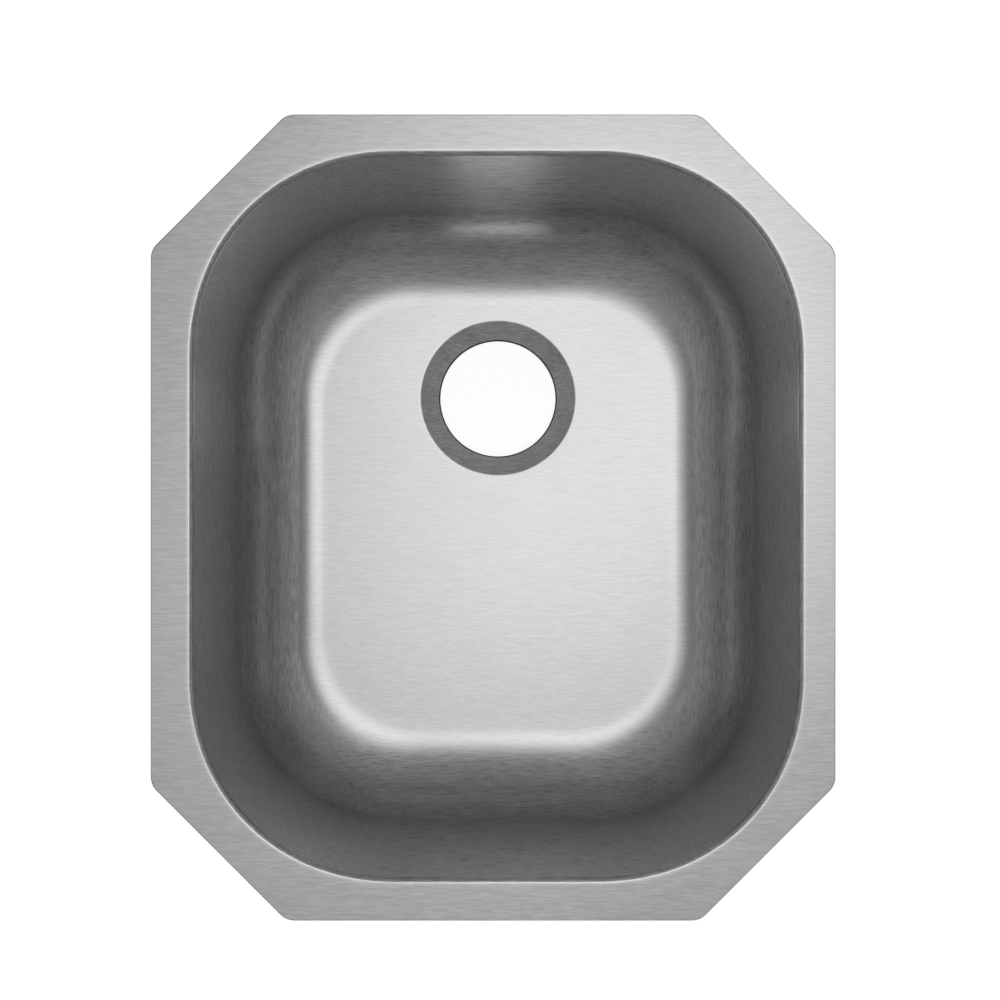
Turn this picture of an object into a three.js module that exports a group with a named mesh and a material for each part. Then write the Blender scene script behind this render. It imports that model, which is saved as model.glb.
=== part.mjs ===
// Single bowl undermount sink, drawn from one sheet of stainless steel, with a flat flange that has clipped corners,
// a conical drain recess with an open hole, a sprayed undercoat and glued rubber damping pads.
//
// Frame: millimetres, +Z up. The origin is the centre of the flange outline, on the plane of the flange's top face.
// +X is the user's right, +Y points to the back, where the drain is. The bowl hangs below Z = 0.
import * as THREE from "three";

// ---- driving dimensions -------------------------------------------------------------------------------------------
const SHEET = 1.2; // sheet thickness

const FLANGE_W = 438.8; // flange outline along X
const FLANGE_L = 516.6; // flange outline along Y
const CLIP_LEG = 86.8; // leg of each clipped corner, at 45 degrees
const CLIP_R = 13; // rounding where a clip meets a side

const BOWL_X = 2.0; // the bowl's centre from the flange's centre
const BOWL_Y = 0.6;
const OPEN_HALF_W = 194; // bowl opening, to the walls
const OPEN_HALF_L = 231.5;
const OPEN_CORNER = 130.5; // extent of each rounded corner of the opening
const CORNER_POWER = 2.13; // 2 is a circular arc; a little over 2 blends more gently into the straight sides
const FOLD_R = 3.6; // bend from the flange into the wall, on the visible side

const WALL_FOOT_Z = -145; // where the straight wall ends and the floor radius begins
const WALL_FOOT_HALF_W = 189.5;
const WALL_FOOT_HALF_L = 223;
const WALL_FOOT_CORNER = 127;
const FLOOR_R_X = 57; // floor radius, across
const FLOOR_R_Y = 60.5; // floor radius, along
const FLOOR_R_CORNER = 48;

const DEPTH = 203; // flange top to the floor at the drain recess
const FLOOR_FALL = 0.009; // floor slope towards the drain, as a ratio
const DRAIN_X = 0.8; // drain centre from the bowl's centre
const DRAIN_Y = 91;
const RECESS_R = 58.7; // drain recess, outer radius
const RECESS_EDGE = 1.1; // half the width of the rounding where the floor breaks into the recess
const HOLE_R = 44.45; // drain hole, for a 3-1/2 in strainer
const RECESS_DEPTH = 9; // floor to the hole's edge

const GAP = 0.3; // between touching pieces
const COAT = 1; // undercoat thickness
const COAT_TOP_Z = -24; // the coat stops this far under the flange
const COAT_DRAIN_R = 67; // bare ring left around the recess for the strainer's nut
const PAD = 3; // damping pad thickness
const PAD_R = 9; // damping pad corner radius

// ---- outlines ----------------------------------------------------------------------------------------------------
const STRAIGHT_STEPS = 2; // per half side
const CORNER_STEPS = 12; // per corner

// The four quadrants of a closed loop from its first one, given from (+x, 0) to (0, +y).
function fourQuadrants(first, cx, cy) {
  const last = first.length - 1;
  const loop = [];
  for (let i = 0; i < last; i++) loop.push([first[i][0], first[i][1]]);
  for (let i = last; i > 0; i--) loop.push([-first[i][0], first[i][1]]);
  for (let i = 0; i < last; i++) loop.push([-first[i][0], -first[i][1]]);
  for (let i = last; i > 0; i--) loop.push([first[i][0], -first[i][1]]);
  return loop.map(([x, y]) => [x + cx, y + cy]);
}

// A rectangle of half sizes a and b whose corners take the last c of each side.
function roundedLoop(a, b, c) {
  const q = [];
  for (let i = 0; i < STRAIGHT_STEPS; i++) q.push([a, ((b - c) * i) / STRAIGHT_STEPS]);
  for (let i = 0; i <= CORNER_STEPS; i++) {
    const t = (i / CORNER_STEPS) * (Math.PI / 2);
    q.push([
      a - c + c * Math.pow(Math.max(Math.cos(t), 0), 2 / CORNER_POWER),
      b - c + c * Math.pow(Math.sin(t), 2 / CORNER_POWER),
    ]);
  }
  for (let i = STRAIGHT_STEPS - 1; i >= 0; i--) q.push([((a - c) * i) / STRAIGHT_STEPS, b]);
  return fourQuadrants(q, BOWL_X, BOWL_Y);
}

// The flange outline, with as many points as roundedLoop and in the same order.
function flangeLoop() {
  const A = FLANGE_W / 2,
    B = FLANGE_L / 2,
    tangent = CLIP_R * Math.tan(Math.PI / 8);
  const q = [];
  const side = B - CLIP_LEG - tangent;
  const end = A - CLIP_LEG - tangent;
  for (let i = 0; i < STRAIGHT_STEPS; i++) q.push([A, (side * i) / STRAIGHT_STEPS]);
  const arc = 4; // steps in each rounding; the clip's straight line takes the rest
  const first = [],
    second = [];
  for (let i = 0; i <= arc; i++) {
    const t = ((i / arc) * Math.PI) / 4;
    first.push([A - CLIP_R + CLIP_R * Math.cos(t), side + CLIP_R * Math.sin(t)]);
    second.push([end + CLIP_R * Math.cos(Math.PI / 4 + t), B - CLIP_R + CLIP_R * Math.sin(Math.PI / 4 + t)]);
  }
  q.push(...first);
  const line = CORNER_STEPS - 2 * arc;
  for (let i = 1; i < line; i++) {
    const s = i / line;
    q.push([first[arc][0] * (1 - s) + second[0][0] * s, first[arc][1] * (1 - s) + second[0][1] * s]);
  }
  q.push(...second);
  for (let i = STRAIGHT_STEPS - 1; i >= 0; i--) q.push([(end * i) / STRAIGHT_STEPS, B]);
  return fourQuadrants(q, 0, 0);
}

// ---- the bowl's surface, and surfaces parallel to it -------------------------------------------------------------
const DRAIN_CX = BOWL_X + DRAIN_X,
  DRAIN_CY = BOWL_Y + DRAIN_Y;
const flat = (loop, z) => loop.map(([x, y]) => [x, y, z]);

// Height of the floor's top face at a point: a shallow cone that falls to the drain recess.
function floorZ(x, y) {
  return -DEPTH + FLOOR_FALL * (Math.hypot(x - DRAIN_CX, y - DRAIN_CY) - RECESS_R);
}

// The loop on the floor radius at angle phi (0 at the wall, 90 degrees at the floor), moved out of the bowl by off.
function radiusLoop(phi, off) {
  const s = Math.sin(phi),
    k = 1 - Math.cos(phi),
    n = off * Math.cos(phi);
  const top = roundedLoop(WALL_FOOT_HALF_W - FLOOR_R_X * k, WALL_FOOT_HALF_L - FLOOR_R_Y * k, WALL_FOOT_CORNER - FLOOR_R_CORNER * k);
  const moved = roundedLoop(
    WALL_FOOT_HALF_W - FLOOR_R_X * k + n,
    WALL_FOOT_HALF_L - FLOOR_R_Y * k + n,
    WALL_FOOT_CORNER - FLOOR_R_CORNER * k + n,
  );
  const foot = radiusFoot();
  return top.map((_, i) => {
    const z = WALL_FOOT_Z + (floorZ(foot[i][0], foot[i][1]) - WALL_FOOT_Z) * s;
    return [moved[i][0], moved[i][1], z - off * s];
  });
}

// Where the floor radius meets the floor, in plan.
function radiusFoot() {
  return roundedLoop(WALL_FOOT_HALF_W - FLOOR_R_X, WALL_FOOT_HALF_L - FLOOR_R_Y, WALL_FOOT_CORNER - FLOOR_R_CORNER);
}

// A loop on the wall at height z, moved out by off.
function wallLoop(z, off) {
  const s = (z + FOLD_R) / (WALL_FOOT_Z + FOLD_R);
  const mix = (p, q) => p + (q - p) * s + off;
  return flat(
    roundedLoop(mix(OPEN_HALF_W, WALL_FOOT_HALF_W), mix(OPEN_HALF_L, WALL_FOOT_HALF_L), mix(OPEN_CORNER, WALL_FOOT_CORNER)),
    z,
  );
}

// A circle about the drain, each point on the ray from the drain's centre to its point of the floor's outline.
function drainLoop(r, z) {
  return radiusFoot().map(([x, y]) => {
    const d = Math.hypot(x - DRAIN_CX, y - DRAIN_CY);
    return [DRAIN_CX + ((x - DRAIN_CX) * r) / d, DRAIN_CY + ((y - DRAIN_CY) * r) / d, z];
  });
}

// A loop on the floor, a share t of the way from its outline to a circle of radius r about the drain.
function floorLoop(t, r, off) {
  const outer = radiusFoot(),
    inner = drainLoop(r, 0);
  return outer.map(([x, y], i) => {
    const px = x + (inner[i][0] - x) * t,
      py = y + (inner[i][1] - y) * t;
    return [px, py, floorZ(px, py) - off];
  });
}

// ---- meshes ------------------------------------------------------------------------------------------------------
// Closed loops, each joined to the next and the last to the first, make one closed ring-shaped surface.
function loftGeometry(loops) {
  const n = loops[0].length,
    m = loops.length;
  const position = [],
    index = [];
  for (const loop of loops) for (const p of loop) position.push(...p);
  for (let j = 0; j < m; j++)
    for (let i = 0; i < n; i++) {
      const a = j * n + i,
        b = j * n + ((i + 1) % n),
        c = ((j + 1) % m) * n + ((i + 1) % n),
        d = ((j + 1) % m) * n + i;
      index.push(a, b, c, a, c, d);
    }
  const g = new THREE.BufferGeometry();
  g.setAttribute("position", new THREE.Float32BufferAttribute(position, 3));
  g.setIndex(index);
  g.computeVertexNormals();
  return g;
}

const RADIUS_STEPS = 5;
const radiusAngles = Array.from({ length: RADIUS_STEPS }, (_, i) => (((i + 1) / RADIUS_STEPS) * Math.PI) / 2);

function bowlShellGeometry() {
  const fold = (psi, r) => {
    // r is the bend's radius on this face: FOLD_R on the visible face, FOLD_R - SHEET underneath
    const out = FOLD_R - r * Math.sin(psi);
    return flat(roundedLoop(OPEN_HALF_W + out, OPEN_HALF_L + out, OPEN_CORNER + out), -FOLD_R + r * Math.cos(psi));
  };
  const slope = Math.atan2(RECESS_DEPTH, RECESS_R - HOLE_R);
  const coneZ = (r) => -DEPTH - ((RECESS_R - r) * RECESS_DEPTH) / (RECESS_R - HOLE_R);
  const under = RECESS_R + SHEET * Math.tan(slope / 2); // where the faces underneath meet
  const top = [
    flat(flangeLoop(), 0),
    fold(0, FOLD_R),
    fold(Math.PI / 6, FOLD_R),
    fold(Math.PI / 3, FOLD_R),
    wallLoop(-FOLD_R, 0),
    wallLoop(WALL_FOOT_Z, 0),
    ...radiusAngles.map((phi) => radiusLoop(phi, 0)),
    floorLoop(0.5, RECESS_R + RECESS_EDGE, 0),
    drainLoop(RECESS_R + RECESS_EDGE, floorZ(DRAIN_CX + RECESS_R + RECESS_EDGE, DRAIN_CY)),
    drainLoop(RECESS_R - RECESS_EDGE, coneZ(RECESS_R - RECESS_EDGE)),
    drainLoop(HOLE_R, -DEPTH - RECESS_DEPTH),
  ];
  const bottom = [
    flat(flangeLoop(), -SHEET),
    fold(0, FOLD_R - SHEET),
    fold(Math.PI / 4, FOLD_R - SHEET),
    wallLoop(-FOLD_R, SHEET),
    wallLoop(WALL_FOOT_Z, SHEET),
    ...radiusAngles.map((phi) => radiusLoop(phi, SHEET)),
    floorLoop(0.5, RECESS_R + RECESS_EDGE, SHEET),
    drainLoop(under + RECESS_EDGE, floorZ(DRAIN_CX + under + RECESS_EDGE, DRAIN_CY) - SHEET),
    drainLoop(under - RECESS_EDGE, coneZ(under - RECESS_EDGE) - SHEET / Math.cos(slope)),
    drainLoop(HOLE_R, -DEPTH - RECESS_DEPTH - SHEET / Math.cos(slope)),
  ];
  return loftGeometry([...top, ...bottom.reverse()]);
}

function undercoatingGeometry() {
  const face = (off) => [
    wallLoop(COAT_TOP_Z, off),
    wallLoop(WALL_FOOT_Z, off),
    ...radiusAngles.map((phi) => radiusLoop(phi, off)),
    floorLoop(0.5, COAT_DRAIN_R, off),
    drainLoop(COAT_DRAIN_R, floorZ(DRAIN_CX + COAT_DRAIN_R, DRAIN_CY) - off),
  ];
  return loftGeometry([...face(SHEET + GAP), ...face(SHEET + GAP + COAT).reverse()]);
}

// A rounded rectangle's points, counterclockwise, scaled about its centre.
function padOutline(w, l, scale) {
  const points = [];
  const corners = [
    [w / 2 - PAD_R, l / 2 - PAD_R, 0],
    [-w / 2 + PAD_R, l / 2 - PAD_R, 90],
    [-w / 2 + PAD_R, -l / 2 + PAD_R, 180],
    [w / 2 - PAD_R, -l / 2 + PAD_R, 270],
  ];
  for (const [x, y, start] of corners)
    for (let i = 0; i <= 3; i++) {
      const t = ((start + i * 30) * Math.PI) / 180;
      points.push([(x + PAD_R * Math.cos(t)) * scale, (y + PAD_R * Math.sin(t)) * scale]);
    }
  return points;
}

// A pad under the floor. Its glued face follows the floor's slope, one gap under the coat.
function floorPadGeometry(cx, cy, w, l) {
  const rings = [1, 0.66, 0.33].map((s) => padOutline(w, l, s));
  const n = rings[0].length;
  const position = [],
    index = [];
  const upper = (x, y) => floorZ(x, y) - (SHEET + GAP + COAT + GAP);
  for (const below of [0, PAD])
    for (const ring of rings) for (const [x, y] of ring) position.push(cx + x, cy + y, upper(cx + x, cy + y) - below);
  for (const below of [0, PAD]) position.push(cx, cy, upper(cx, cy) - below);
  const face = rings.length * n;
  for (let i = 0; i < n; i++) {
    const k = (i + 1) % n;
    for (let r = 0; r < rings.length - 1; r++) {
      const a = r * n + i,
        b = r * n + k,
        c = (r + 1) * n + k,
        d = (r + 1) * n + i;
      index.push(a, b, c, a, c, d);
      index.push(face + a, face + c, face + b, face + a, face + d, face + c);
    }
    const inner = (rings.length - 1) * n;
    index.push(inner + i, inner + k, 2 * face);
    index.push(face + inner + i, 2 * face + 1, face + inner + k);
    index.push(i, face + i, face + k, i, face + k, k);
  }
  const g = new THREE.BufferGeometry();
  g.setAttribute("position", new THREE.Float32BufferAttribute(position, 3));
  g.setIndex(index);
  g.computeVertexNormals();
  return g;
}

// A flat pad for a wall: w along the wall, h up it, its glued face at z = 0 of its own frame.
function wallPadGeometry(w, h) {
  const shape = new THREE.Shape(padOutline(w, h, 1).map(([x, y]) => new THREE.Vector2(x, y)));
  return new THREE.ExtrudeGeometry(shape, { depth: PAD, bevelEnabled: false, steps: 1 });
}

// ---- the assembly ------------------------------------------------------------------------------------------------
const steel = new THREE.MeshStandardMaterial({ color: 0xb9bab9, roughness: 0.34, metalness: 1 });
const coat = new THREE.MeshStandardMaterial({ color: 0x6f7272, roughness: 0.9, metalness: 0 });
const rubber = new THREE.MeshStandardMaterial({ color: 0x232425, roughness: 0.8, metalness: 0 });

const sink = new THREE.Group();
function add(parent, name, geometry, material) {
  const mesh = new THREE.Mesh(geometry, material);
  mesh.name = name;
  parent.add(mesh);
  return mesh;
}

add(sink, "bowl_shell", bowlShellGeometry(), steel);
add(sink, "undercoating", undercoatingGeometry(), coat);

// pads under the floor
add(sink, "floor_pad_front", floorPadGeometry(BOWL_X, BOWL_Y - 68, 196, 112), rubber);
add(sink, "floor_pad_left", floorPadGeometry(BOWL_X - 99, BOWL_Y + 76, 46, 96), rubber);
add(sink, "floor_pad_right", floorPadGeometry(BOWL_X + 99, BOWL_Y + 76, 46, 96), rubber);

// pads on the walls, each lying on its wall's slope
const WALL_PAD_Z = -92,
  WALL_PAD_H = 88,
  SIDE_PAD_W = 168,
  END_PAD_W = 104;
function wallPad(name, w, topHalf, footHalf, turn) {
  // turn carries the right-hand wall round to this one, about the bowl's centre line
  const drop = WALL_FOOT_Z + FOLD_R;
  const lean = Math.atan2(topHalf - footHalf, -drop);
  const s = (WALL_PAD_Z + FOLD_R) / drop;
  const out = SHEET + GAP + COAT + GAP;
  const round = new THREE.Group();
  round.position.set(BOWL_X, BOWL_Y, 0);
  round.rotation.z = turn;
  const seat = new THREE.Group();
  seat.position.set(topHalf + (footHalf - topHalf) * s + out, 0, WALL_PAD_Z);
  seat.rotation.y = lean;
  const mesh = add(seat, name, wallPadGeometry(w, WALL_PAD_H), rubber);
  const along = new THREE.Vector3(0, 1, 0),
    up = new THREE.Vector3(0, 0, 1),
    away = new THREE.Vector3(1, 0, 0);
  mesh.quaternion.setFromRotationMatrix(new THREE.Matrix4().makeBasis(along, up, away));
  round.add(seat);
  sink.add(round);
}
wallPad("wall_pad_right", SIDE_PAD_W, OPEN_HALF_W, WALL_FOOT_HALF_W, 0);
wallPad("wall_pad_left", SIDE_PAD_W, OPEN_HALF_W, WALL_FOOT_HALF_W, Math.PI);
wallPad("wall_pad_back", END_PAD_W, OPEN_HALF_L, WALL_FOOT_HALF_L, Math.PI / 2);
wallPad("wall_pad_front", END_PAD_W, OPEN_HALF_L, WALL_FOOT_HALF_L, -Math.PI / 2);

export default sink;
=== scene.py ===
import math

import bmesh
import bpy
import numpy as np
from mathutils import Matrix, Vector


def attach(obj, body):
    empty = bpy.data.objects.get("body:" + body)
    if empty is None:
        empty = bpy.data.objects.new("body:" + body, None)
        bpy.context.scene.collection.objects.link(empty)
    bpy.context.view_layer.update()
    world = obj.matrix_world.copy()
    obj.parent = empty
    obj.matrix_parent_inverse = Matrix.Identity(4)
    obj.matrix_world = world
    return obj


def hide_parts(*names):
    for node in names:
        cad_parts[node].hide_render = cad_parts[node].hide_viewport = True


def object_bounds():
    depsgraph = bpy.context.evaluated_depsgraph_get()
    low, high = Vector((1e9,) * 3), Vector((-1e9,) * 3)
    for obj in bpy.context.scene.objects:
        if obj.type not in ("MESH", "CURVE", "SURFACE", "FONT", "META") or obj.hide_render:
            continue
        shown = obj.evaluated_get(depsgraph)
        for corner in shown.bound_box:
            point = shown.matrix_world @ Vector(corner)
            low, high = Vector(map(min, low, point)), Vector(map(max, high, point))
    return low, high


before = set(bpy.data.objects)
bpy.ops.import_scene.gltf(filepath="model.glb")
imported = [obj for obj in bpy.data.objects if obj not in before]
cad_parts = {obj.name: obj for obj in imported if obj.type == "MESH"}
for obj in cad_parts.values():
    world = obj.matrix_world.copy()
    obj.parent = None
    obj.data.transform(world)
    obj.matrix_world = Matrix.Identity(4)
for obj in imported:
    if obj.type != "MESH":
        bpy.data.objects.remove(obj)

cad_low, cad_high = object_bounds()

# ---------------------------------------------------------------------------------------------------------------------
# Driving dimensions, in millimetres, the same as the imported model's. Everything is scaled to metres when a mesh is made.
# ---------------------------------------------------------------------------------------------------------------------
SHEET = 1.2
FLANGE_W, FLANGE_L, CLIP_LEG, CLIP_R = 438.8, 516.6, 86.8, 13.0
BOWL_X, BOWL_Y = 2.0, 0.6
OPEN_HALF_W, OPEN_HALF_L, OPEN_CORNER, POWER = 194.0, 231.5, 130.5, 2.13
FOLD_R = 3.6
FOOT_Z, FOOT_W, FOOT_L, FOOT_C = -145.0, 189.5, 223.0, 127.0
RAD_X, RAD_Y, RAD_C = 57.0, 60.5, 48.0
DEPTH, FALL = 203.0, 0.009
DRAIN_X, DRAIN_Y = BOWL_X + 0.8, BOWL_Y + 91.0
RECESS_R, RECESS_EDGE, HOLE_R, RECESS_DEPTH = 58.7, 1.1, 44.45, 9.0
GAP, COAT, COAT_TOP_Z, COAT_DRAIN_R, PAD = 0.3, 1.0, -24.0, 67.0, 3.0

STRAIGHT = 14  # steps along each half side
CORNER = 56  # steps round each corner


# ---------------------------------------------------------------------------------------------------------------------
# Outlines
# ---------------------------------------------------------------------------------------------------------------------
def four_quadrants(first, cx, cy):
    first = np.asarray(first, float)
    a = first[:-1]
    b = first[:0:-1] * (-1, 1)
    c = first[:-1] * (-1, -1)
    d = first[:0:-1] * (1, -1)
    return np.concatenate([a, b, c, d]) + (cx, cy)


def even(points, n):
    """n + 1 points at even distances along a fine polyline."""
    points = np.asarray(points, float)
    step = np.r_[0, np.cumsum(np.hypot(*np.diff(points, axis=0).T))]
    at = np.linspace(0, step[-1], n + 1)
    return np.c_[np.interp(at, step, points[:, 0]), np.interp(at, step, points[:, 1])]


def rounded(a, b, c, power=POWER):
    t = np.linspace(0, math.pi / 2, 721)
    curve = np.c_[
        a - c + c * np.clip(np.cos(t), 0, 1) ** (2 / power),
        b - c + c * np.clip(np.sin(t), 0, 1) ** (2 / power),
    ]
    side = np.c_[np.full(STRAIGHT, a), (b - c) * np.arange(STRAIGHT) / STRAIGHT]
    end = np.c_[(a - c) * np.arange(STRAIGHT - 1, -1, -1) / STRAIGHT, np.full(STRAIGHT, b)]
    return four_quadrants(np.concatenate([side, even(curve, CORNER), end]), BOWL_X, BOWL_Y)


def flange(shrink=0.0):
    A, B = FLANGE_W / 2 - shrink, FLANGE_L / 2 - shrink
    r = CLIP_R - shrink
    leg = CLIP_LEG - shrink * (2 - math.sqrt(2))
    tangent = r * math.tan(math.pi / 8)
    side, end = B - leg - tangent, A - leg - tangent
    arc = 16
    t = np.linspace(0, math.pi / 4, arc + 1)
    first = np.c_[A - r + r * np.cos(t), side + r * np.sin(t)]
    second = np.c_[end + r * np.cos(math.pi / 4 + t), B - r + r * np.sin(math.pi / 4 + t)]
    line = CORNER - 2 * arc
    s = (np.arange(1, line) / line)[:, None]
    clip = first[-1] * (1 - s) + second[0] * s
    straight_side = np.c_[np.full(STRAIGHT, A), side * np.arange(STRAIGHT) / STRAIGHT]
    straight_end = np.c_[end * np.arange(STRAIGHT - 1, -1, -1) / STRAIGHT, np.full(STRAIGHT, B)]
    return four_quadrants(np.concatenate([straight_side, first, clip, second, straight_end]), 0, 0)


def at_z(loop, z):
    return np.c_[loop, np.full(len(loop), z)]


def floor_z(x, y):
    return -DEPTH + FALL * (np.hypot(x - DRAIN_X, y - DRAIN_Y) - RECESS_R)


foot_outline = rounded(FOOT_W - RAD_X, FOOT_L - RAD_Y, FOOT_C - RAD_C)
foot_height = floor_z(foot_outline[:, 0], foot_outline[:, 1])
to_drain = foot_outline - (DRAIN_X, DRAIN_Y)
to_drain_length = np.hypot(to_drain[:, 0], to_drain[:, 1])
ray = to_drain / to_drain_length[:, None]


def radius_loop(phi, off=0.0):
    s, k, n = math.sin(phi), 1 - math.cos(phi), off * math.cos(phi)
    plan = rounded(FOOT_W - RAD_X * k + n, FOOT_L - RAD_Y * k + n, FOOT_C - RAD_C * k + n)
    return np.c_[plan, FOOT_Z + (foot_height - FOOT_Z) * s - off * s]


def wall_loop(z, off=0.0):
    s = (z + FOLD_R) / (FOOT_Z + FOLD_R)
    plan = rounded(
        OPEN_HALF_W + (FOOT_W - OPEN_HALF_W) * s + off,
        OPEN_HALF_L + (FOOT_L - OPEN_HALF_L) * s + off,
        OPEN_CORNER + (FOOT_C - OPEN_CORNER) * s + off,
    )
    return at_z(plan, z)


def fold_loop(psi, r):
    out = FOLD_R - r * math.sin(psi)
    return at_z(
        rounded(OPEN_HALF_W + out, OPEN_HALF_L + out, OPEN_CORNER + out),
        -FOLD_R + r * math.cos(psi),
    )


def circle_loop(r, z):
    return np.c_[np.array((DRAIN_X, DRAIN_Y)) + ray * r, np.full(len(ray), z)]


def floor_loop(t, r, off=0.0):
    d = to_drain_length * (1 - t) + r * t
    p = np.array((DRAIN_X, DRAIN_Y)) + ray * d[:, None]
    return np.c_[p, floor_z(p[:, 0], p[:, 1]) - off]


def blend_loops(p, q, t):
    return p * (1 - t) + q * t


# ---------------------------------------------------------------------------------------------------------------------
# Mesh helpers
# ---------------------------------------------------------------------------------------------------------------------
def ring_mesh(name, loops):
    """Closed loops, each joined to the next and the last to the first. Lengths come in millimetres."""
    n, m = len(loops[0]), len(loops)
    co = np.concatenate(loops) * 0.001
    j, i = np.meshgrid(np.arange(m), np.arange(n), indexing="ij")
    i2, j2 = (i + 1) % n, (j + 1) % m
    quads = np.stack([j * n + i, j * n + i2, j2 * n + i2, j2 * n + i], -1).reshape(-1, 4)
    mesh = bpy.data.meshes.new(name)
    mesh.from_pydata(co.tolist(), [], quads.tolist())
    mesh.update()
    bm = bmesh.new()
    bm.from_mesh(mesh)
    bmesh.ops.recalc_face_normals(bm, faces=bm.faces)
    if bm.calc_volume(signed=True) < 0:
        bmesh.ops.reverse_faces(bm, faces=bm.faces)
    bm.to_mesh(mesh)
    bm.free()
    return mesh


def piece(name, mesh, node, material, sharp_deg=None):
    o = bpy.data.objects.new(name, mesh)
    bpy.context.scene.collection.objects.link(o)
    mesh.materials.clear()
    mesh.materials.append(material)
    if sharp_deg is None:
        for p in mesh.polygons:
            p.use_smooth = True
    else:
        mesh.shade_smooth_by_angle(math.radians(sharp_deg)) if hasattr(mesh, "shade_smooth_by_angle") else None
        bm = bmesh.new()
        bm.from_mesh(mesh)
        for f in bm.faces:
            f.smooth = True
        for e in bm.edges:
            e.smooth = len(e.link_faces) != 2 or e.calc_face_angle(0) < math.radians(sharp_deg)
        bm.to_mesh(mesh)
        bm.free()
    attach(o, "root")
    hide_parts(node)
    return o


# ---------------------------------------------------------------------------------------------------------------------
# Materials
# ---------------------------------------------------------------------------------------------------------------------
class Nodes:
    def __init__(self, name):
        self.material = bpy.data.materials.new(name)
        self.material.use_nodes = True
        self.tree = self.material.node_tree
        self.tree.nodes.clear()
        self.out = self.add("ShaderNodeOutputMaterial")

    def add(self, kind, **values):
        n = self.tree.nodes.new(kind)
        for k, v in values.items():
            setattr(n, k, v)
        return n

    def link(self, a, b):
        self.tree.links.new(a, b)

    def feed(self, socket, value):
        if isinstance(value, bpy.types.NodeSocket):
            self.link(value, socket)
        elif value is not None:
            socket.default_value = value

    def math(self, op, a, b=None, c=None, clamp=False):
        n = self.add("ShaderNodeMath", operation=op, use_clamp=clamp)
        self.feed(n.inputs[0], a)
        self.feed(n.inputs[1], b)
        if c is not None:
            self.feed(n.inputs[2], c)
        return n.outputs[0]

    def vector(self, op, a, b=None, scale=None):
        n = self.add("ShaderNodeVectorMath", operation=op)
        self.feed(n.inputs[0], a)
        if b is not None:
            self.feed(n.inputs[1], b)
        if scale is not None:
            self.feed(n.inputs["Scale"], scale)
        return n.outputs["Value"] if op in ("DOT_PRODUCT", "LENGTH", "DISTANCE") else n.outputs[0]

    def noise(self, vector, scale, detail=2.0, rough=0.5, kind="3D"):
        n = self.add("ShaderNodeTexNoise", noise_dimensions=kind)
        self.link(vector, n.inputs["Vector"])
        n.inputs["Scale"].default_value = scale
        n.inputs["Detail"].default_value = detail
        n.inputs["Roughness"].default_value = rough
        return n.outputs["Fac"] if "Fac" in n.outputs else n.outputs[0]

    def ramp(self, value, lo, hi, to_lo=0.0, to_hi=1.0, smooth=False):
        n = self.add("ShaderNodeMapRange", clamp=True)
        n.interpolation_type = "SMOOTHSTEP" if smooth else "LINEAR"
        self.feed(n.inputs["Value"], value)
        n.inputs["From Min"].default_value = lo
        n.inputs["From Max"].default_value = hi
        n.inputs["To Min"].default_value = to_lo
        n.inputs["To Max"].default_value = to_hi
        return n.outputs[0]

    def mix(self, t, a, b):
        n = self.add("ShaderNodeMix", data_type="FLOAT")
        self.feed(n.inputs[0], t)
        self.feed(n.inputs[2], a)
        self.feed(n.inputs[3], b)
        return n.outputs[0]

    def mix_vector(self, t, a, b):
        n = self.add("ShaderNodeMix", data_type="VECTOR")
        self.feed(n.inputs[0], t)
        self.feed(n.inputs[4], a)
        self.feed(n.inputs[5], b)
        return n.outputs[1]

    def mix_color(self, t, a, b):
        n = self.add("ShaderNodeMix", data_type="RGBA")
        self.feed(n.inputs[0], t)
        self.feed(n.inputs[6], a)
        self.feed(n.inputs[7], b)
        return n.outputs[2]


STEEL_ROUGH = 0.30
STEEL_ANISO = 0.55
STEEL_TURN = 0.25
GRAIN = 0.84


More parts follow.
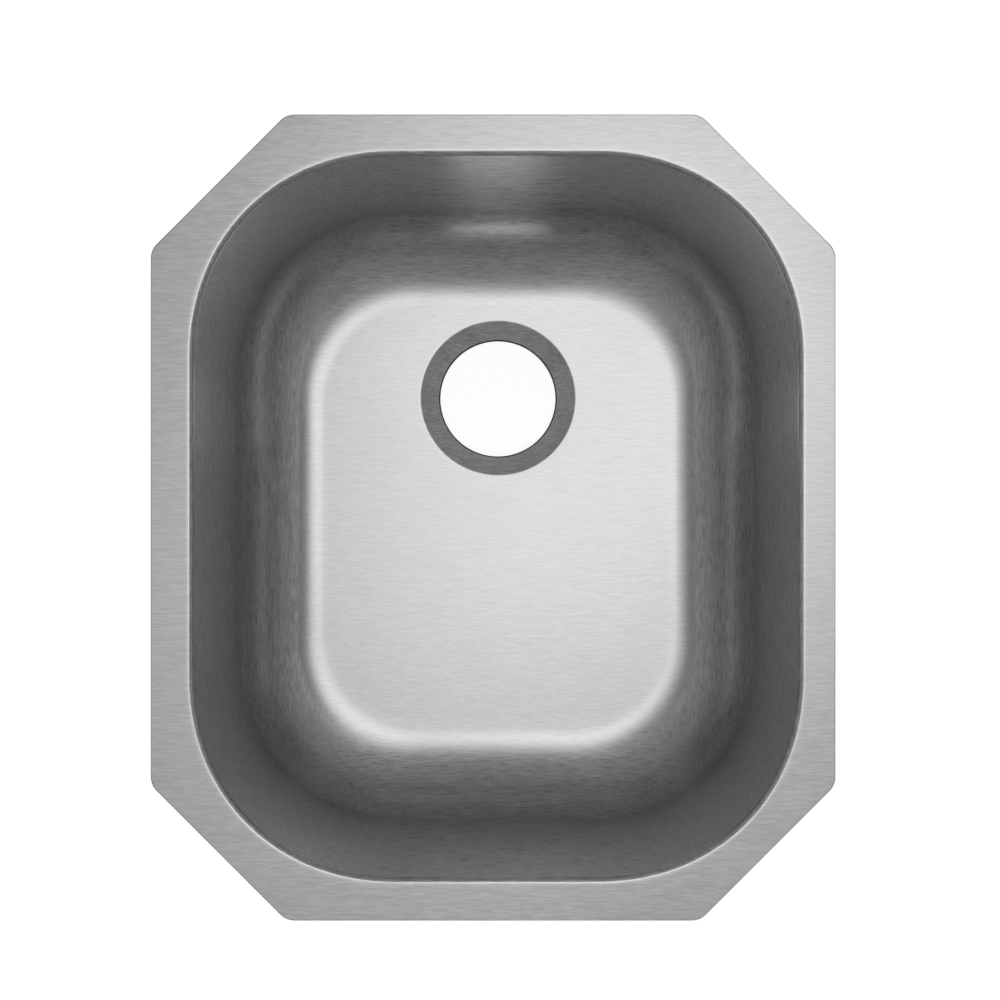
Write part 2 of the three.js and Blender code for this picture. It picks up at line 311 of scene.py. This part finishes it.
def steel_material():
    m = Nodes("brushed_stainless")
    coord = m.add("ShaderNodeTexCoord").outputs["Object"]
    normal = m.add("ShaderNodeNewGeometry").outputs["Normal"]
    split = m.add("ShaderNodeSeparateXYZ")
    m.link(normal, split.inputs[0])
    nx, ny, nz = split.outputs
    # Where the grain runs round the bowl (1) and where it runs along X (0). The flange and the floor run along X.
    upright = m.ramp(m.math("ABSOLUTE", nz), 0.93, 0.985, 1.0, 0.0, smooth=True)
    side = m.math("ABSOLUTE", nx)
    flat = m.math("SQRT", m.math("ADD", m.math("MULTIPLY", nx, nx), m.math("MULTIPLY", ny, ny)))
    toward_x = m.math("DIVIDE", side, m.math("MAXIMUM", flat, 0.001))
    round_side = m.math("MULTIPLY", m.ramp(toward_x, 0.45, 0.95, 0.0, 1.0, smooth=True), upright)
    # The coined drain recess (1): the sheet's own grain crosses it along X, and its finish is duller. Round the hole's
    # cut edge the colour is painted near-black as shade.
    from_drain = m.vector("SUBTRACT", coord, (DRAIN_X * 0.001, DRAIN_Y * 0.001, 0.0))
    away = m.vector("LENGTH", m.vector("MULTIPLY", from_drain, (1.0, 1.0, 0.0)))
    coined = m.ramp(away, (RECESS_R - 0.5) * 0.001, (RECESS_R + 0.2) * 0.001, 1.0, 0.0)
    # painted shade mask: full on the hole's rolled cut edge, fading out 0.75 to 1.2 mm from the hole
    hole_edge_painted_shade = m.ramp(away, (HOLE_R + 0.75) * 0.001, (HOLE_R + 1.2) * 0.001, 1.0, 0.0)
    round_side = m.math("MULTIPLY", round_side, m.math("SUBTRACT", 1.0, coined))

    # Short streaks along X and along Y. Those on the walls are wider up the wall than those on the flat faces are across.
    def streaks(stretch, seed):
        shift = m.vector("ADD", coord, seed)
        fine = m.noise(m.vector("MULTIPLY", shift, stretch(112.0, 1250.0, 520.0)), 1.0, 1.0, 0.45)
        hair = m.noise(m.vector("MULTIPLY", shift, stretch(60.0, 3300.0, 1300.0)), 1.0, 1.0, 0.5)
        mid = m.noise(m.vector("MULTIPLY", shift, stretch(32.0, 420.0, 170.0)), 1.0, 2.0, 0.55)
        return fine, hair, mid

    ax = streaks(lambda a, b, c: (a, b, c), (0.31, 0.17, 0.53))
    ay = streaks(lambda a, b, c: (b, a, c), (0.77, 0.41, 0.29))
    fine, hair, mid = (m.mix(round_side, p, q) for p, q in zip(ax, ay))
    cloud = m.noise(coord, 7.0, 3.0, 0.55)

    def signed(v, k):
        return m.math("MULTIPLY", m.math("SUBTRACT", v, 0.5), k)

    grain = m.math("ADD", m.math("ADD", signed(fine, 0.62), signed(hair, 0.25)), signed(mid, 0.25))
    grain = m.ramp(grain, -0.22, 0.22, -0.15, 0.15, smooth=True)  # no single streak stands out
    grain = m.math("MULTIPLY", grain, m.math("ADD", 1.0, m.math("MULTIPLY", upright, 0.7)))
    tone = m.math("ADD", m.math("MULTIPLY", grain, GRAIN), signed(cloud, 0.03))
    value = m.math("ADD", tone, 0.5, clamp=True)
    colour = m.mix_color(value, (0.30, 0.305, 0.3025, 1), (0.94, 0.95, 0.942, 1))
    # painted shade: the hole's cut edge is coloured near-black to stand in for the shade there
    colour = m.mix_color(hole_edge_painted_shade, colour, (0.05, 0.051, 0.05, 1))

    rough = m.math("ADD", m.math("MULTIPLY", grain, 0.12), STEEL_ROUGH)
    rough = m.math("ADD", rough, signed(cloud, 0.04))
    sectors = m.noise(m.vector("NORMALIZE", m.vector("MULTIPLY", from_drain, (1.0, 1.0, 0.0))), 2.6, 1.0, 0.5)
    duller = m.math("ADD", signed(sectors, 0.7), 0.34)
    rough = m.math("ADD", rough, m.math("MULTIPLY", coined, duller))

    bump = m.add("ShaderNodeBump")
    bump.inputs["Strength"].default_value = 0.10
    bump.inputs["Distance"].default_value = 0.000018
    m.link(grain, bump.inputs["Height"])

    # the direction of the grain, for the stretched highlights
    around = m.vector("CROSS_PRODUCT", normal, (0.0, 0.0, 1.0))
    flip = m.add("ShaderNodeSeparateXYZ")
    m.link(around, flip.inputs[0])
    one_way = m.math("SUBTRACT", m.math("MULTIPLY", m.math("GREATER_THAN", flip.outputs[0], -0.0001), 2.0), 1.0)
    around = m.vector("SCALE", around, scale=one_way)
    tangent = m.vector("NORMALIZE", m.mix_vector(upright, (1.0, 0.0, 0.0), around))

    b = m.add("ShaderNodeBsdfPrincipled")
    b.inputs["Metallic"].default_value = 1.0
    b.inputs["Anisotropic"].default_value = STEEL_ANISO
    b.inputs["Anisotropic Rotation"].default_value = STEEL_TURN  # highlights stretch across the grain
    m.link(colour, b.inputs["Base Color"])
    m.link(rough, b.inputs["Roughness"])
    m.link(bump.outputs["Normal"], b.inputs["Normal"])
    m.link(tangent, b.inputs["Tangent"])
    m.link(b.outputs[0], m.out.inputs["Surface"])
    return m.material


def coat_material():
    m = Nodes("undercoat")
    coord = m.add("ShaderNodeTexCoord").outputs["Object"]
    pebble = m.noise(coord, 520.0, 3.0, 0.6)
    blot = m.noise(coord, 14.0, 4.0, 0.6)
    spray = m.noise(coord, 1600.0, 2.0, 0.7)
    t = m.math("ADD", m.math("MULTIPLY", pebble, 0.45), m.math("MULTIPLY", blot, 0.4))
    t = m.math("ADD", t, m.math("MULTIPLY", spray, 0.2))
    t = m.ramp(t, 0.3, 0.75)
    colour = m.mix_color(t, (0.115, 0.118, 0.120, 1), (0.205, 0.208, 0.210, 1))
    rough = m.ramp(pebble, 0.3, 0.7, 0.72, 0.92)
    bump = m.add("ShaderNodeBump")
    bump.inputs["Strength"].default_value = 0.55
    bump.inputs["Distance"].default_value = 0.0004
    m.link(m.math("ADD", pebble, m.math("MULTIPLY", spray, 0.35)), bump.inputs["Height"])
    b = m.add("ShaderNodeBsdfPrincipled")
    b.inputs["Metallic"].default_value = 0.0
    b.inputs["Specular IOR Level"].default_value = 0.35
    m.link(colour, b.inputs["Base Color"])
    m.link(rough, b.inputs["Roughness"])
    m.link(bump.outputs["Normal"], b.inputs["Normal"])
    m.link(b.outputs[0], m.out.inputs["Surface"])
    return m.material


def rubber_material():
    m = Nodes("damping_rubber")
    coord = m.add("ShaderNodeTexCoord").outputs["Object"]
    skin = m.noise(coord, 900.0, 3.0, 0.6)
    dust = m.noise(coord, 30.0, 5.0, 0.65)
    t = m.ramp(m.math("ADD", m.math("MULTIPLY", skin, 0.3), m.math("MULTIPLY", dust, 0.7)), 0.35, 0.7)
    colour = m.mix_color(t, (0.012, 0.012, 0.013, 1), (0.034, 0.034, 0.036, 1))
    rough = m.ramp(dust, 0.35, 0.65, 0.55, 0.8)
    bump = m.add("ShaderNodeBump")
    bump.inputs["Strength"].default_value = 0.3
    bump.inputs["Distance"].default_value = 0.0002
    m.link(skin, bump.inputs["Height"])
    b = m.add("ShaderNodeBsdfPrincipled")
    b.inputs["Metallic"].default_value = 0.0
    b.inputs["Specular IOR Level"].default_value = 0.45
    m.link(colour, b.inputs["Base Color"])
    m.link(rough, b.inputs["Roughness"])
    m.link(bump.outputs["Normal"], b.inputs["Normal"])
    m.link(b.outputs[0], m.out.inputs["Surface"])
    return m.material


steel, coat_look, rubber_look = steel_material(), coat_material(), rubber_material()


# ---------------------------------------------------------------------------------------------------------------------
# The pressing: flange, fold, walls, floor radius, floor, drain recess and hole, both faces of the sheet
# ---------------------------------------------------------------------------------------------------------------------
def shell_loops():
    edge = 0.28  # the sheared outer edge is dressed to this radius
    slope = math.atan2(RECESS_DEPTH, RECESS_R - HOLE_R)
    drop = RECESS_DEPTH / (RECESS_R - HOLE_R)
    rim_z = -DEPTH - RECESS_DEPTH
    under_z = rim_z - SHEET / math.cos(slope)
    top = []
    for k in range(5):  # outer edge, from its side to the top face
        t = k / 4 * math.pi / 2
        top.append(at_z(flange(edge * (1 - math.cos(t))), -edge * (1 - math.sin(t))))
    start = at_z(flange(edge), 0.0)
    inner = fold_loop(0, FOLD_R)
    for t in (0.02, 0.25, 0.5, 0.75, 0.93):
        top.append(blend_loops(start, inner, t))
    for k in range(0, 11):
        top.append(fold_loop(k / 10 * math.pi / 2, FOLD_R))
    for t in (0.03, 0.1, 0.25, 0.45, 0.65, 0.85, 0.96, 1.0):
        top.append(wall_loop(-FOLD_R + (FOOT_Z + FOLD_R) * t))
    for k in range(1, 25):
        top.append(radius_loop(k / 24 * math.pi / 2))
    lip = RECESS_R + RECESS_EDGE
    for t in (0.04, 0.12, 0.25, 0.4, 0.55, 0.7, 0.83, 0.93, 0.98, 1.0):
        top.append(floor_loop(t, lip))
    # the floor rolls into the recess over RECESS_EDGE each side of the corner
    for k in range(1, 6):
        s = k / 6
        r = lip - 2 * RECESS_EDGE * s
        z0 = floor_z(DRAIN_X + lip, DRAIN_Y)
        z1 = -DEPTH - RECESS_EDGE * drop
        zc = floor_z(DRAIN_X + RECESS_R, DRAIN_Y)
        z = (1 - s) ** 2 * z0 + 2 * s * (1 - s) * zc + s * s * z1
        top.append(circle_loop(r, z))
    for t in (0.0, 0.06, 0.35, 0.65, 0.94):
        r = (RECESS_R - RECESS_EDGE) * (1 - t) + (HOLE_R + 0.75) * t
        top.append(circle_loop(r, -DEPTH - (RECESS_R - r) * drop))
    top.append(circle_loop(HOLE_R + 0.42, rim_z + 0.18))
    top.append(circle_loop(HOLE_R + 0.18, rim_z - 0.04))
    top.append(circle_loop(HOLE_R + 0.04, rim_z - 0.24))
    top.append(circle_loop(HOLE_R, rim_z - 0.48))
    top.append(circle_loop(HOLE_R, (rim_z + under_z) / 2))
    bottom = []
    for k in range(5):
        t = k / 4 * math.pi / 2
        bottom.append(at_z(flange(edge * (1 - math.cos(t))), -SHEET + edge * (1 - math.sin(t))))
    start = at_z(flange(edge), -SHEET)
    inner = fold_loop(0, FOLD_R - SHEET)
    for t in (0.02, 0.5, 0.95):
        bottom.append(blend_loops(start, inner, t))
    for k in range(0, 7):
        bottom.append(fold_loop(k / 6 * math.pi / 2, FOLD_R - SHEET))
    for t in (0.05, 0.3, 0.65, 0.95, 1.0):
        bottom.append(wall_loop(-FOLD_R + (FOOT_Z + FOLD_R) * t, SHEET))
    for k in range(1, 17):
        bottom.append(radius_loop(k / 16 * math.pi / 2, SHEET))
    under = RECESS_R + SHEET * math.tan(slope / 2)
    lip = under + RECESS_EDGE
    for t in (0.1, 0.4, 0.75, 0.95, 1.0):
        bottom.append(floor_loop(t, lip, SHEET))
    cone = lambda r: -DEPTH - (RECESS_R - r) * drop - SHEET / math.cos(slope)
    corner_z = floor_z(DRAIN_X + under, DRAIN_Y) - SHEET
    for k in range(1, 5):
        s = k / 5
        r = lip - 2 * RECESS_EDGE * s
        z0 = floor_z(DRAIN_X + lip, DRAIN_Y) - SHEET
        z1 = cone(under - RECESS_EDGE)
        z = (1 - s) ** 2 * z0 + 2 * s * (1 - s) * corner_z + s * s * z1
        bottom.append(circle_loop(r, z))
    for t in (0.0, 0.1, 0.5, 0.9):
        r = (under - RECESS_EDGE) * (1 - t) + (HOLE_R + 0.2) * t
        bottom.append(circle_loop(r, cone(r)))
    bottom.append(circle_loop(HOLE_R + 0.12, under_z + 0.04))
    bottom.append(circle_loop(HOLE_R, under_z + 0.2))
    return top + bottom[::-1]


shell = piece("sink_pressing", ring_mesh("sink_pressing", shell_loops()), "bowl_shell", steel)


# ---------------------------------------------------------------------------------------------------------------------
# The sprayed undercoat
# ---------------------------------------------------------------------------------------------------------------------
def coat_loops():
    inner_off, outer_off = SHEET + GAP, SHEET + GAP + COAT
    rng = np.random.default_rng(11)
    n = len(foot_outline)
    angle = np.arange(n) / n * 2 * math.pi
    # the masked spray line wanders a little
    wander = sum(
        a * np.sin(k * angle + p)
        for k, a, p in zip((2, 5, 9, 17, 31, 53), (0.5, 0.45, 0.35, 0.3, 0.22, 0.15), rng.uniform(0, 6.28, 6))
    )
    inner, outer = [], []
    heights = [COAT_TOP_Z + (FOOT_Z - COAT_TOP_Z) * t for t in (0.0, 0.02, 0.05, 0.1, 0.2, 0.32, 0.45, 0.58, 0.7, 0.82, 0.92, 1.0)]
    for k, z in enumerate(heights):
        thin = min(1.0, 0.35 + 0.65 * (k / 3.0)) if k < 3 else 1.0
        p, q = wall_loop(z, inner_off), wall_loop(z, inner_off + COAT * thin)
        drop = (wander - wander.max()) * max(0.0, 1 - k / 4)
        p[:, 2] += drop
        q[:, 2] += drop
        inner.append(p)
        outer.append(q)
    for k in range(1, 21):
        phi = k / 20 * math.pi / 2
        inner.append(radius_loop(phi, inner_off))
        outer.append(radius_loop(phi, outer_off))
    for t in (0.08, 0.18, 0.3, 0.42, 0.54, 0.66, 0.77, 0.87, 0.95):
        inner.append(floor_loop(t, COAT_DRAIN_R, inner_off))
        outer.append(floor_loop(t, COAT_DRAIN_R, outer_off))
    z = float(floor_z(DRAIN_X + COAT_DRAIN_R, DRAIN_Y))
    inner.append(circle_loop(COAT_DRAIN_R, z - inner_off))
    outer.append(circle_loop(COAT_DRAIN_R + 0.5, z - outer_off + 0.05))
    outer.append(circle_loop(COAT_DRAIN_R, z - outer_off + 0.45))
    # a pebbled surface: small lumps on the outer face only, always thinner than the solid coat
    for k, loop in enumerate(outer[1:-2], 1):
        lump = rng.uniform(0, 0.22, len(loop))
        lump = (lump + np.roll(lump, 1) + np.roll(lump, -1)) / 3
        back = inner[min(k, len(inner) - 1)]
        away = loop - back
        away /= np.maximum(np.linalg.norm(away, axis=1), 1e-6)[:, None]
        loop -= away * lump[:, None]
    return inner + outer[::-1]


coat = piece("sprayed_undercoat", ring_mesh("sprayed_undercoat", coat_loops()), "undercoating", coat_look)


# ---------------------------------------------------------------------------------------------------------------------
# Damping pads
# ---------------------------------------------------------------------------------------------------------------------
PAD_CORNER = 9.0


def pad_grid(w, l, nx, ny):
    """A rounded rectangle of w by l as a closed loop of points."""
    per = 10
    pts = []
    for cx, cy, a0 in ((1, 1, 0), (-1, 1, 90), (-1, -1, 180), (1, -1, 270)):
        for k in range(per + 1):
            t = math.radians(a0 + 90 * k / per)
            pts.append((cx * (w / 2 - PAD_CORNER) + PAD_CORNER * math.cos(t), cy * (l / 2 - PAD_CORNER) + PAD_CORNER * math.sin(t)))
        ex = {0: (-1, 0), 90: (0, -1), 180: (1, 0), 270: (0, 1)}[a0]
        run = (w if ex[0] else l) - 2 * PAD_CORNER
        steps = nx if ex[0] else ny
        x, y = pts[-1]
        for k in range(1, steps):
            pts.append((x + ex[0] * run * k / steps, y + ex[1] * run * k / steps))
    return np.array(pts)


def pad_mesh(name, w, l, place):
    """A die-cut pad: flat glued face, rounded outer edges, a rolled border and a slightly hollow middle.
    place(x, y, h) carries a point of the pad, h millimetres out from its glued face, into the row frame, in millimetres."""
    outline = pad_grid(w, l, max(8, int(w / 8)), max(8, int(l / 8)))
    norm = outline / np.maximum(np.linalg.norm(outline, axis=1), 1e-6)[:, None]
    del norm
    inset_rings = []

    def inset(d):
        sx, sy = (w / 2 - d) / (w / 2), (l / 2 - d) / (l / 2)
        return outline * (sx, sy)

    e = 0.9
    inset_rings.append((inset(0.0), 0.0))
    inset_rings.append((inset(0.0), PAD - e))
    for k in range(1, 5):
        t = k / 4 * math.pi / 2
        inset_rings.append((inset(e * (1 - math.cos(t))), PAD - e + e * math.sin(t)))
    inset_rings.append((inset(3.2), PAD))
    inset_rings.append((inset(3.9), PAD - 0.12))
    inset_rings.append((inset(4.6), PAD - 0.42))
    inset_rings.append((inset(5.4), PAD - 0.55))
    for t in (0.8, 0.6, 0.4, 0.2):
        inset_rings.append((outline * ((w / 2 - 5.4) / (w / 2) * t, (l / 2 - 5.4) / (l / 2) * t), PAD - 0.55 - 0.08 * (1 - t)))
    verts, faces = [], []
    n = len(outline)
    for pts, h in inset_rings:
        for x, y in pts:
            verts.append(place(x, y, h))
    for r in range(len(inset_rings) - 1):
        for i in range(n):
            k = (i + 1) % n
            faces.append((r * n + i, r * n + k, (r + 1) * n + k, (r + 1) * n + i))
    top_centre = len(verts)
    verts.append(place(0, 0, PAD - 0.63))
    last = (len(inset_rings) - 1) * n
    for i in range(n):
        faces.append((last + i, last + (i + 1) % n, top_centre))
    # the glued face
    base = len(verts)
    scales = (0.75, 0.5, 0.25)
    for s in scales:
        for x, y in outline * s:
            verts.append(place(x, y, 0.0))
    rings = [0] + [base + j * n for j in range(len(scales))]
    for a, b in zip(rings, rings[1:]):
        for i in range(n):
            k = (i + 1) % n
            faces.append((a + k, a + i, b + i, b + k))
    bottom_centre = len(verts)
    verts.append(place(0, 0, 0.0))
    for i in range(n):
        faces.append((rings[-1] + (i + 1) % n, rings[-1] + i, bottom_centre))
    mesh = bpy.data.meshes.new(name)
    mesh.from_pydata((np.array(verts) * 0.001).tolist(), [], faces)
    mesh.update()
    bm = bmesh.new()
    bm.from_mesh(mesh)
    bmesh.ops.recalc_face_normals(bm, faces=bm.faces)
    if bm.calc_volume(signed=True) < 0:
        bmesh.ops.reverse_faces(bm, faces=bm.faces)
    bm.to_mesh(mesh)
    bm.free()
    return mesh


def under_floor(cx, cy):
    def place(x, y, h):
        px, py = cx + x, cy + y
        return (px, py, float(floor_z(px, py)) - (SHEET + GAP + COAT + GAP) - h)

    return place


def on_wall(turn, top_half, foot_half, z0):
    drop = FOOT_Z + FOLD_R
    lean = math.atan2(top_half - foot_half, -drop)
    s = (z0 + FOLD_R) / drop
    seat = top_half + (foot_half - top_half) * s + SHEET + GAP + COAT + GAP
    ca, sa = math.cos(turn), math.sin(turn)

    def place(x, y, h):
        # along the wall x, up it y, away from it h
        lx = seat + h * math.cos(lean) + y * math.sin(lean)
        lz = z0 - h * math.sin(lean) + y * math.cos(lean)
        return (BOWL_X + lx * ca - x * sa, BOWL_Y + lx * sa + x * ca, lz)

    return place


WALL_PAD_Z, WALL_PAD_H, SIDE_PAD_W, END_PAD_W = -92.0, 88.0, 168.0, 104.0
pads = {
    "floor_pad_front": ("front_floor_damping_pad", 196.0, 112.0, under_floor(BOWL_X, BOWL_Y - 68)),
    "floor_pad_left": ("left_floor_damping_pad", 46.0, 96.0, under_floor(BOWL_X - 99, BOWL_Y + 76)),
    "floor_pad_right": ("right_floor_damping_pad", 46.0, 96.0, under_floor(BOWL_X + 99, BOWL_Y + 76)),
    "wall_pad_right": ("right_wall_damping_pad", SIDE_PAD_W, WALL_PAD_H, on_wall(0, OPEN_HALF_W, FOOT_W, WALL_PAD_Z)),
    "wall_pad_left": ("left_wall_damping_pad", SIDE_PAD_W, WALL_PAD_H, on_wall(math.pi, OPEN_HALF_W, FOOT_W, WALL_PAD_Z)),
    "wall_pad_back": ("back_wall_damping_pad", END_PAD_W, WALL_PAD_H, on_wall(math.pi / 2, OPEN_HALF_L, FOOT_L, WALL_PAD_Z)),
    "wall_pad_front": ("front_wall_damping_pad", END_PAD_W, WALL_PAD_H, on_wall(-math.pi / 2, OPEN_HALF_L, FOOT_L, WALL_PAD_Z)),
}
for node, (name, w, l, place) in pads.items():
    piece(name, pad_mesh(name, w, l, place), node, rubber_look, sharp_deg=50)


# ---------------------------------------------------------------------------------------------------------------------
# Floor, light and camera
# ---------------------------------------------------------------------------------------------------------------------
def stage_floor():
    z = cad_low.z - 0.0005
    mesh = bpy.data.meshes.new("studio_floor")
    s = 6.0
    mesh.from_pydata([(-s, -s, z), (s, -s, z), (s, s, z), (-s, s, z)], [], [(0, 1, 2, 3)])
    m = Nodes("studio_floor")
    d = m.add("ShaderNodeBsdfDiffuse")
    d.inputs["Color"].default_value = (0.9, 0.9, 0.9, 1)
    e = m.add("ShaderNodeEmission")
    e.inputs["Color"].default_value = (1, 1, 1, 1)
    e.inputs["Strength"].default_value = 0.75
    both = m.add("ShaderNodeAddShader")
    m.link(d.outputs[0], both.inputs[0])
    m.link(e.outputs[0], both.inputs[1])
    clear = m.add("ShaderNodeBsdfTransparent")
    pick = m.add("ShaderNodeMixShader")
    m.link(m.add("ShaderNodeNewGeometry").outputs["Backfacing"], pick.inputs[0])
    m.link(both.outputs[0], pick.inputs[1])
    m.link(clear.outputs[0], pick.inputs[2])
    m.link(pick.outputs[0], m.out.inputs["Surface"])
    mesh.materials.append(m.material)
    o = bpy.data.objects.new("studio_floor", mesh)
    bpy.context.scene.collection.objects.link(o)


# Plain soft studio light: three soft panels overhead in an even surround. Azimuth from +X towards +Y and
# elevation, how far from its middle a panel is fully bright and where it ends, all in degrees, and its brightness.
PATCHES = [
    (45.0, 82.0, 5.0, 15.0, 1.72),
    (180.0, 82.0, 5.0, 13.5, 0.54),
    (225.0, 82.0, 5.0, 13.5, 0.25),
]
AMBIENT = 0.235


def studio_world():
    world = bpy.data.worlds.new("studio")
    bpy.context.scene.world = world
    world.use_nodes = True
    t = world.node_tree
    t.nodes.clear()
    out = t.nodes.new("ShaderNodeOutputWorld")
    back = t.nodes.new("ShaderNodeBackground")
    t.links.new(back.outputs[0], out.inputs["Surface"])
    coord = t.nodes.new("ShaderNodeTexCoord").outputs["Generated"]
    unit = t.nodes.new("ShaderNodeVectorMath")
    unit.operation = "NORMALIZE"
    t.links.new(coord, unit.inputs[0])
    total = None
    for azimuth, elevation, full, edge, power in PATCHES:
        a, e = math.radians(azimuth), math.radians(elevation)
        dot = t.nodes.new("ShaderNodeVectorMath")
        dot.operation = "DOT_PRODUCT"
        t.links.new(unit.outputs[0], dot.inputs[0])
        dot.inputs[1].default_value = (math.cos(a) * math.cos(e), math.sin(a) * math.cos(e), math.sin(e))
        ramp = t.nodes.new("ShaderNodeMapRange")
        ramp.interpolation_type = "SMOOTHSTEP"
        t.links.new(dot.outputs["Value"], ramp.inputs["Value"])
        ramp.inputs["From Min"].default_value = math.cos(math.radians(edge))
        ramp.inputs["From Max"].default_value = math.cos(math.radians(full))
        ramp.inputs["To Min"].default_value = 0.0
        ramp.inputs["To Max"].default_value = power
        if total is None:
            total = ramp.outputs[0]
        else:
            add = t.nodes.new("ShaderNodeMath")
            add.operation = "ADD"
            t.links.new(total, add.inputs[0])
            t.links.new(ramp.outputs[0], add.inputs[1])
            total = add.outputs[0]
    base = t.nodes.new("ShaderNodeMath")
    base.operation = "ADD"
    base.inputs[1].default_value = AMBIENT
    t.links.new(total, base.inputs[0])
    back.inputs["Color"].default_value = (1, 1, 1, 1)
    t.links.new(base.outputs[0], back.inputs["Strength"])


CAMERA_HEIGHT = 1.029  # above the flange
FOCAL_PX = 1606.0  # for a picture 1000 wide


def camera():
    data = bpy.data.cameras.new("camera")
    data.sensor_fit = "HORIZONTAL"
    data.sensor_width = 36.0
    data.lens = FOCAL_PX * 36.0 / 1000.0
    data.shift_y = 0.0166
    data.clip_start, data.clip_end = 0.01, 30
    o = bpy.data.objects.new("camera", data)
    bpy.context.scene.collection.objects.link(o)
    o.location = ((BOWL_X + 2.41) * 0.001, BOWL_Y * 0.001, CAMERA_HEIGHT)
    o.rotation_euler = (0, 0, 0)
    bpy.context.scene.camera = o


stage_floor()
studio_world()
camera()
bpy.context.scene.view_settings.view_transform = "Standard"
bpy.context.scene.view_settings.look = "None"
bpy.context.scene.view_settings.exposure = 0.0
bpy.context.scene.view_settings.gamma = 1.0
